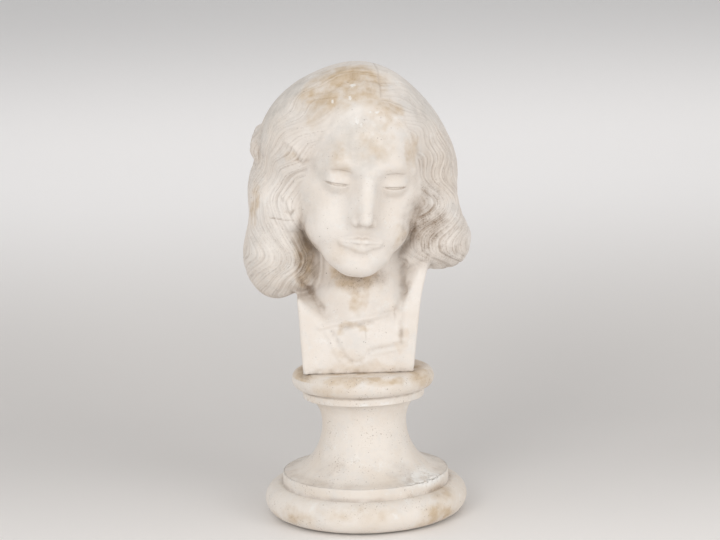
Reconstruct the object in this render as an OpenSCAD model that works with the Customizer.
// Portrait bust of a girl on a turned socle, carved and turned in stone.
// Millimetres. Z is up, the bust faces -Y, and the origin lies on the table
// under the middle of the socle.
//
// The socle is three turned pieces and the bust is one carved block. Thin beds
// of mortar lie between them, a pin stops the block from turning, and a rod,
// anchored in the block, is clamped from a recess under the base.

/* [Bust] */
// Turn of the head to the viewer's right, degrees
head_turn = 8; // [6:0.5:10]
// Nod of the head, degrees
head_nod = 11; // [8:0.5:13]
// Lean of the crown to the viewer's right, degrees
head_lean = 6; // [4:0.5:8]
// Size of the head against a 203 mm pattern head
head_size = 0.9; // [0.88:0.005:0.91]
// Half width of the hair at ear height
hair_half_w = 104; // [100:1:106]
// Width of the chest block at its foot
block_w = 106.4; // [96:0.2:108]
// Depth of the chest block
block_d = 78; // [70:1:80]

/* [Socle] */
// Diameter of the base moulding
base_d = 200; // [190:1:215]
// Diameter of the fillet on the base
step_d = 164.6; // [156:0.2:168]
// Diameter of the shaft at its waist
waist_d = 83; // [74:1:92]
// Diameter of the fillet under the cap
fillet_d = 120; // [116:1:124]
// Diameter of the cap moulding
cap_d = 140.6; // [138:0.2:146]

/* [Fixing] */
// Diameter of the tie rod
rod_d = 12; // [10:1:12]
// Diameter of the locating pin
pin_d = 10; // [8:1:12]
// Diameter of the recess for the clamp nut
recess_d = 44; // [42:1:46]
// Thickness of the felt under the base
felt_t = 1.5; // [1:0.1:2]

/* [Hidden] */
$fn = 96;
waist_z = 90;          // height of the narrowest place of the shaft
step_z = 30;           // foot of the fillet on the base
base_top = 41.5;       // top of the base piece
shaft_foot = 42.3;     // shaft, above its bed
shaft_top = 115.2;     // shaft, below its bed
cap_foot = 116;        // foot of the cap piece
cap_top = 143.8;       // top of the cap piece
block_foot = 144.8;    // underside of the bust
ring_r = 14.5;         // roundness of the base moulding
bead_r = 9.9;          // roundness of the cap moulding
clear_d = rod_d + 1.5; // bores of the socle round the rod
anchor_d = 24;
anchor_top = 206;
pin_x = -32;
pin_low = 132;
pin_high = 160;
recess_top = 23;
washer_t = 3;
cushion_t = 2;
nut_af = 19;
nut_h = 10.8;

// ---- soft joins of forms; each form is a distance, negative inside ----

function join(a, b, k) = let (h = max(k - abs(a - b), 0) / k) min(a, b) - h * h * k / 4;
function carve(a, tool, k) = -join(-a, tool, k);
function keep(a, b, k) = -join(-a, -b, k);
function ramp(v, a, b) = min(max((v - a) / (b - a), 0), 1);
function ease(v, a, b) = let (t = ramp(v, a, b)) t * t * (3 - 2 * t);

// an egg with centre c and half sizes r
function egg(p, c, r) =
    let (q = [(p.x - c.x) / r.x, (p.y - c.y) / r.y, (p.z - c.z) / r.z],
         w = [q.x / r.x, q.y / r.y, q.z / r.z],
         n = norm(q))
    n < 0.01 ? -min(r) : n * (n - 1) / norm(w);

// a rounded bar from a to b whose radius runs from ra to rb
function bar(p, a, b, ra, rb) =
    let (ab = b - a, t = min(max((p - a) * ab / (ab * ab), 0), 1))
    norm(p - a - t * ab) - (ra + (rb - ra) * t);

// ---- the head stands in a frame of its own ----

head_at = [-1, -4, 342];
head_axes =
    [[cos(head_turn), -sin(head_turn), 0], [sin(head_turn), cos(head_turn), 0], [0, 0, 1]]
    * [[1, 0, 0], [0, cos(head_nod), -sin(head_nod)], [0, sin(head_nod), cos(head_nod)]]
    * [[cos(head_lean), 0, sin(head_lean)], [0, 1, 0], [-sin(head_lean), 0, cos(head_lean)]];
function in_head(p) = ((p - head_at) * head_axes) / head_size;

// skull, cheeks and jaw; m is q folded onto the positive side of x
function fold(q) = [sqrt(q.x * q.x + 2.25), q.y, q.z];
function skull(q, m) =
    let (a = egg(q, [0, 6, 23], [70, 93, 79]),
         b = join(a, egg(q, [0, -30, -48], [46, 56, 53]), 16),
         c = join(b, egg(m, [37, -36, -15], [29, 34, 33]), 14),
         d = join(c, egg(m, [28, -44, -50], [29, 34, 33]), 14))
    join(d, bar(m, [46, 0, -50], [10, -70, -88], 12, 11), 14);

function brow_and_sockets(d, m) =
    let (a = join(d, bar(m, [8, -80.5, 11], [27, -77, 18], 4.4, 4.2), 16),
         b = join(a, bar(m, [27, -77, 18], [46, -62.5, 13], 4.2, 3.4), 16))
    carve(b, egg(m, [27, -96, -1], [18, 14, 12]), 12);

function nose(d, q, m) =
    let (a = join(d, egg(q, [0, -80, -25], [13, 13.5, 24]), 11),
         b = join(a, bar(q, [0, -80.5, 9], [0, -95.5, -32], 4.6, 5.2), 9),
         c = join(b, egg(q, [0, -97, -36.5], [6.6, 7.6, 6.2]), 5))
    join(c, egg(m, [9.2, -88, -40], [4.3, 7.8, 5]), 3.5);

function chin(d, q) =
    let (a = join(d, egg(q, [0, -66, -82], [33, 20, 16]), 12),
         b = join(a, egg(q, [0, -76, -88], [15, 13, 12]), 12))
    carve(b, egg(q, [0, -96.5, -78.5], [16, 7, 4]), 8);

function mouth(d, q, m) =
    let (a = carve(d, bar(q, [0, -96.5, -49.5], [0, -97.5, -56], 2, 2.6), 4.5),
         b = join(a, bar(m, [4, -87.8, -61.3], [20, -80.5, -64.4], 3.5, 1.6), 4.5),
         c = join(b, bar(m, [2.5, -86.6, -68.4], [17, -80.5, -66], 4.2, 1.6), 5),
         e = carve(c, bar(m, [0, -92.6, -64.6], [11, -89.6, -64.3], 0.9, 0.9), 1.6))
    carve(e, bar(m, [11, -89.6, -64.3], [22, -82.6, -65.2], 0.9, 0.7), 1.6);

eye_at = [28, -66.5, -1];
function eyes(d, m) =
    let (v = m - eye_at,
         z = v.z - 0.06 * v.x + 3.2,
         above = z * cos(5.7) + v.y * sin(5.7),
         below = v.y * sin(9.7) - z * cos(9.7),
         lids = carve(egg(m, eye_at, [16.4, 15.2, 15.2]), max(above, below), 1))
    min(join(d, lids, 4.5), egg(m, eye_at, [13.6, 13.3, 13.3]));

function face(q, m, plain) = q.y > -40 || q.z > 40 ? plain
    : eyes(mouth(chin(nose(brow_and_sockets(plain, m), q, m), q), q, m), m);

// ---- hair: a bob that ends in two rolled locks, with a twist behind ----

hair_tilt = 2.6;
function hair_mass(p) =
    let (v = p - [-4, 0, 312],
         m = [v.x * cos(hair_tilt) - v.z * sin(hair_tilt), v.y,
              v.x * sin(hair_tilt) + v.z * cos(hair_tilt)])
    egg(m, [0, 14, 0], [hair_half_w, 80, 127]);

bob_slope = 0.14;      // the hair ends lower on the viewer's left
function bob(p, q) =
    let (a = join(hair_mass(p), egg(p, [-4, 44, 292], [88, 56, 76]), 16),
         b = keep(a, 236 + bob_slope * p.x - p.z, 14),
         c = join(b, egg(p, [-11, 6, 360], [83, 84, 77]), 6),
         d = join(c, egg(q, [0, 6, 24], [76, 97, 86]) * head_size, 8),
         e = join(d, egg(p, [-81.3, 0, 257], [32, 46, 43]), 12),
         f = join(e, egg(p, [80, 2, 266], [31, 44, 27]), 12),
         g = join(f, egg(p, [-56, -8, 244], [20, 31, 19]), 12),
         h = join(g, egg(p, [59, -13, 262], [22, 29, 16]), 12),
         i = join(h, bar(p, [-80, -14, 322], [-78, -16, 262], 16, 25), 18))
    join(i, bar(p, [77, -12, 326], [75, -14, 272], 15, 21), 18);

function twist_at(k) = let (t = 23 * k - 4) [-7 - 94 * cos(t), 26 + 77 * sin(t), 6 + 22 * sin(t)];
function twist_r(k) = (15 - k / 2) * (1 - ease(k, 5, 7.6));      // its end sinks into the hair
function twist_form(q) = q.y < -10 ? 100 :
    min([for (k = [0:6]) bar(q, twist_at(k), twist_at(k + 1), twist_r(k), twist_r(k + 1))]) * head_size;

// the face shows in a pointed oval; the hair grows thicker away from its edge,
// slowly over the forehead and fast beside the jaw
function face_edge(q) = q.z > -30 ? (norm([q.x / 60, (q.z + 30) / 102]) - 1) * 60
    : abs(q.x) - 60 - 0.28 * (q.z + 30) + 20 * ease(q.z, -78, -100);
function hairline(q, plain) =
    let (rise = 0.3 + 0.8 * ease(q.z, 80, 5) + 0.3 * ease(q.z, 15, -40) + 2.2 * ease(q.z, -50, -95),
         front = 0.8 * (plain - rise * face_edge(q)) / sqrt(1 + rise * rise))
    join(front, -q.y - 24, 16) * head_size;

// the hair is combed from a parting; crests and hollows cross it on both sides,
// each list runs down the head as [height, rise]
left_crest = [[66, 0], [16, 1.4], [-16, -2.2], [-46, 0.8], [-76, 0]];
right_crest = [[72, 0], [30, 1.2], [-8, -2.4], [-36, 0.9], [-62, -1.8], [-84, 0]];
function steps(z, s, k = 0) = k == len(s) - 1 ? s[0][1]
    : (s[k + 1][1] - s[k][1]) * ease(z, s[k][0], s[k + 1][0]) + steps(z, s, k + 1);

function across(q) = q.x - 9 * ease(q.z, 0, 60);
function around(q) =
    let (out = abs(across(q)),
         front = atan2(out, 95 * sqrt(max(0.1, 1 - pow(q.x / 128, 2)))),
         back = ease(q.y, -40, 20))
    (1 - back) * front + back * atan2(out, 10 - q.y);
function waves(q) =
    let (a = around(q),
         height = across(q) < 0 ? steps(q.z - 0.3 * (a - 60), left_crest)
                                : steps(q.z + 0.35 * (a - 50), right_crest))
    max(ease(face_edge(q), 1, 9), ease(q.y, -20, 5)) * height * (1 - ease(a, 95, 150));

// beside the jaw the locks slant inwards to the neck
function lock_wall(p) =
    0.61 * (-24 - 1.25 * (abs(p.x + 3) - 43) - p.y) - 45 * ramp(p.z, 282, 330);

function hair(p, q, plain) =
    let (a = join(bob(p, q), twist_form(q), 5) - waves(q),
         b = keep(a, hairline(q, plain), 8))
    keep(b, lock_wall(p), 8);

// ---- neck and chest block ----

function block_half(z) = block_w / 2 + (z - block_foot) * 0.085 + 6 * pow(ramp(z, 205, 250), 2);
function block_mid(z) = -4.2 + (min(z, 230) - block_foot) * 0.035;

function block(p) =
    let (r = 3,
         mid = block_mid(p.z),
         e = [abs(p.x - mid) - block_half(p.z) + r, abs(p.y - 1) - block_d / 2 + r, p.z - 262 + r],
         box = norm([max(e.x, 0), max(e.y, 0), max(e.z, 0)]) + min(max(e.x, e.y, e.z), 0) - r,
         side = abs(p.x - mid),
         top = 196 + (p.x > mid ? 2.1 : 0.9) * max(side - 34, 0),
         lift = p.x > mid ? 1.1 : 0.75 - 0.5 * ramp(side, 42, 56),
         cut = p.y < 12 ? (p.z - top - lift * max(p.y + block_d / 2 - 1, 0)) * 0.5 : -50)
    keep(box, cut, 4);

function torso(p) =
    let (neck = join(block(p), bar(p, [-3, 0, 185], [0, 8, 290], 37, 42), 10),
         shoulders = join(neck, egg(p, [-2, 4, 210], [48, 41, 44]), 10))
    join(shoulders, bar(p, [33, -8, 205], [37, -5, 258], 15, 13), 10);

function bust_form(p) =
    let (q = in_head(p),
         m = fold(q),
         plain = p.z < 195 ? 0 : skull(q, m),
         body = p.z > 275 ? 100 : torso(p),
         flesh = p.z < 205 ? body : join(face(q, m, plain) * head_size, body, 8))
    p.z < 195 ? flesh : join(flesh, hair(p, q, plain), 4);

// ---- the carved surface: levels of rays that run inwards until they meet it ----

fan_z = 358;           // rays fan upwards from here over the crown
fan_step = 6;
fan = [for (i = [1:14]) 90 - i * fan_step];
levels = concat(
    [for (i = [0:39]) fan_z - i * 2.6],
    [253, 249, 244.5, 240, 236.5, 233.5, 231, 229, 227.4, 226, 224, 220, 214, 207, 199, 190, 176, 160, block_foot + 2]);

// close together over the face, wide apart behind; the block's corners fall on +-45 and +-135
angles = concat(
    [for (i = [0:3]) -153 + i * 4.5],
    [for (i = [0:41]) -135 + i * 90 / 42],
    [for (i = [0:3]) -45 + i * 4.5],
    [for (i = [0:7]) -27 + i * 9],
    [for (i = [0:7]) 45 + i * 90 / 8],
    [for (i = [0:7]) 135 + i * 9]);

function slant(z) = bob_slope * ramp(z, 196, 214) * (1 - ramp(z, 262, 340));
function squash(z) = 1 + (block_half(z) / (block_d / 2) - 1) * (1 - ramp(z, 226, 252));

function reach(o, u, t, n) =
    let (d = bust_form(o + u * t))
    (d < 0.12 || n == 0 || t < 2) ? t : reach(o, u, t - max(d * 0.88, 0.1), n - 1);

function ray(z, lift, a) =
    let (s = squash(z), w = norm([s * cos(a), sin(a)]),
         x = s * cos(a) / w, y = sin(a) / w)
    [x * cos(lift), y * cos(lift), sin(lift) + (lift == 0 ? slant(z) * x : 0)];

function level(z, lift) =
    let (o = [block_mid(z), 1, z + (lift == 0 ? slant(z) * block_mid(z) : 0)])
    [for (a = angles) let (u = ray(z, lift, a)) o + u * reach(o, u, 150, 60)];

module carved_block() {
    n = len(angles);
    crown = [[block_mid(fan_z), 1, 1] + [0, 0, fan_z - 1 + reach([block_mid(fan_z), 1, fan_z], [0, 0, 1], 130, 60)]];
    over = [for (e = fan) level(fan_z, e)];
    down = [for (z = levels) level(z, 0)];
    foot = [for (v = down[len(down) - 1]) [v.x, v.y, block_foot]];
    rings = concat(over, down, [foot]);
    count = len(rings);
    points = concat(crown, [for (r = rings) each r], [[block_mid(block_foot), 1, block_foot]]);
    last = len(points) - 1;
    top = [for (i = [0:n - 1]) [0, 1 + (i + 1) % n, 1 + i]];
    walls = [for (k = [0:count - 2], i = [0:n - 1])
        let (j = (i + 1) % n, a = 1 + k * n + i, b = 1 + k * n + j, c = a + n, d = b + n)
        each (norm(points[a] - points[d]) < norm(points[b] - points[c])
            ? [[a, b, d], [a, d, c]] : [[a, b, c], [b, d, c]])];
    sole = [for (i = [0:n - 1]) let (j = (i + 1) % n) [last, 1 + (count - 1) * n + i, 1 + (count - 1) * n + j]];
    polyhedron(points = points, faces = concat(top, walls, sole), convexity = 8);
}

module bust() {
    color("linen") difference() {
        carved_block();
        translate([0, 0, block_foot - 5]) cylinder(d = anchor_d, h = anchor_top - block_foot + 5);
        translate([pin_x, 0, block_foot - 5]) cylinder(d = pin_d, h = pin_high - block_foot + 5);
    }
}

// ---- beds of mortar, set back from the faces ----

module bust_bedding() {
    color("tan") difference() {
        translate([block_mid(block_foot) - block_w / 2 + 2, 1 - block_d / 2 + 2, cap_top])
            cube([block_w - 4, block_d - 4, block_foot - cap_top]);
        translate([0, 0, cap_top - 1]) cylinder(d = anchor_d, h = 3);
        translate([pin_x, 0, cap_top - 1]) cylinder(d = pin_d, h = 3);
    }
}

module bed(foot, top, d) {
    color("tan") difference() {
        translate([0, 0, foot]) cylinder(d = d, h = top - foot);
        translate([0, 0, foot - 1]) cylinder(d = anchor_d, h = top - foot + 2);
    }
}

module cap_bedding() { bed(shaft_top, cap_foot, fillet_d - 8); }
module base_bedding() { bed(base_top, shaft_foot, step_d - 18); }

// ---- socle ----

module chamfered(d, foot, top, c) {
    translate([0, 0, foot]) cylinder(d1 = d - 2 * c, d2 = d, h = c);
    translate([0, 0, foot + c]) cylinder(d = d, h = top - foot - 2 * c);
    translate([0, 0, top - c]) cylinder(d1 = d, d2 = d - 2 * c, h = c);
}

module socle_cap() {
    r = cap_d / 2 - bead_r;
    color("antiquewhite") difference() {
        union() {
            chamfered(fillet_d, cap_foot, cap_foot + 6.8, 0.6);
            translate([0, 0, cap_foot + 5]) cylinder(d = fillet_d - 1.4, h = cap_top - cap_foot - 7);
            translate([0, 0, cap_top - 2 * bead_r]) cylinder(r = r, h = 2 * bead_r);
            translate([0, 0, cap_top - bead_r]) rotate_extrude() translate([r, 0]) circle(r = bead_r);
        }
        translate([0, 0, cap_foot - 1]) cylinder(d = clear_d, h = cap_top - cap_foot + 2);
        translate([pin_x, 0, pin_low]) cylinder(d = pin_d, h = cap_top - pin_low + 1);
    }
}

// hollow curve of the shaft: two quarter ovals that meet at the waist
function cove(z, rise, run) = rise * (1 - sqrt(max(0, 1 - pow(z / run, 2))));

module socle_shaft() {
    foot_rise = step_d / 2 - 0.8 - waist_d / 2;
    head_rise = fillet_d / 2 - waist_d / 2;
    low = [for (i = [0:16]) let (z = shaft_foot + (waist_z - shaft_foot) * pow(i / 16, 1.5))
        [waist_d / 2 + cove(waist_z - z, foot_rise, 48), z]];
    high = [for (i = [1:12]) let (z = shaft_top - (shaft_top - waist_z) * pow((12 - i) / 12, 1.4))
        [waist_d / 2 + cove(z - waist_z, head_rise, 26.4), z]];
    color("antiquewhite") difference() {
        rotate_extrude() polygon(concat([[0, shaft_foot]], low, high, [[0, shaft_top]]));
        translate([0, 0, shaft_foot - 1]) cylinder(d = clear_d, h = shaft_top - shaft_foot + 2);
    }
}

module socle_base() {
    r = base_d / 2 - ring_r;
    color("antiquewhite") difference() {
        union() {
            translate([0, 0, felt_t]) cylinder(r = r, h = base_top - felt_t - 3);
            translate([0, 0, felt_t + ring_r]) rotate_extrude() translate([r, 0]) circle(r = ring_r);
            chamfered(step_d, step_z - 2, base_top, 0.8);
        }
        translate([0, 0, felt_t - 1]) cylinder(d = recess_d, h = recess_top - felt_t + 1);
        translate([0, 0, recess_top - 1]) cylinder(d = clear_d, h = base_top - recess_top + 2);
    }
}

// ---- fixing ----

cushion_foot = recess_top - cushion_t;
washer_foot = cushion_foot - washer_t;
nut_foot = washer_foot - nut_h;
rod_foot = nut_foot - 2.5;

module tie_rod() {
    color("silver") {
        chamfered(rod_d, rod_foot, anchor_top - 4, 1);
    }
}

module rod_anchor() {
    color("dimgray") difference() {
        translate([0, 0, block_foot]) cylinder(d = anchor_d, h = anchor_top - block_foot);
        translate([0, 0, block_foot - 1]) cylinder(d = rod_d, h = anchor_top - 4 - block_foot + 1);
    }
}

module locating_pin() {
    color("goldenrod") chamfered(pin_d, pin_low, pin_high, 0.8);
}

module washer(foot, t, d) {
    difference() {
        translate([0, 0, foot]) cylinder(d = d, h = t);
        translate([0, 0, foot - 1]) cylinder(d = rod_d + 0.8, h = t + 2);
    }
}

module cushion_washer() { color("black") washer(cushion_foot, cushion_t, 38); }
module clamp_washer() { color("silver") washer(washer_foot, washer_t, 37); }

module clamp_nut() {
    color("silver") difference() {
        intersection() {
            translate([0, 0, nut_foot]) cylinder(d = nut_af / cos(30), h = nut_h, $fn = 6);
            union() {
                translate([0, 0, nut_foot]) cylinder(d1 = nut_af - 0.6, d2 = nut_af + 6.4, h = 2);
                translate([0, 0, nut_foot + 2]) cylinder(d = nut_af + 6.4, h = nut_h - 4);
                translate([0, 0, nut_foot + nut_h - 2]) cylinder(d1 = nut_af + 6.4, d2 = nut_af - 0.6, h = 2);
            }
        }
        translate([0, 0, nut_foot - 1]) cylinder(d = rod_d, h = nut_h + 2);
    }
}

module base_felt() {
    color("darkgreen") cylinder(d = base_d - 2 * ring_r - 5, h = felt_t);
}

bust();
bust_bedding();
socle_cap();
cap_bedding();
socle_shaft();
base_bedding();
socle_base();
tie_rod();
rod_anchor();
locating_pin();
cushion_washer();
clamp_washer();
clamp_nut();
base_felt();
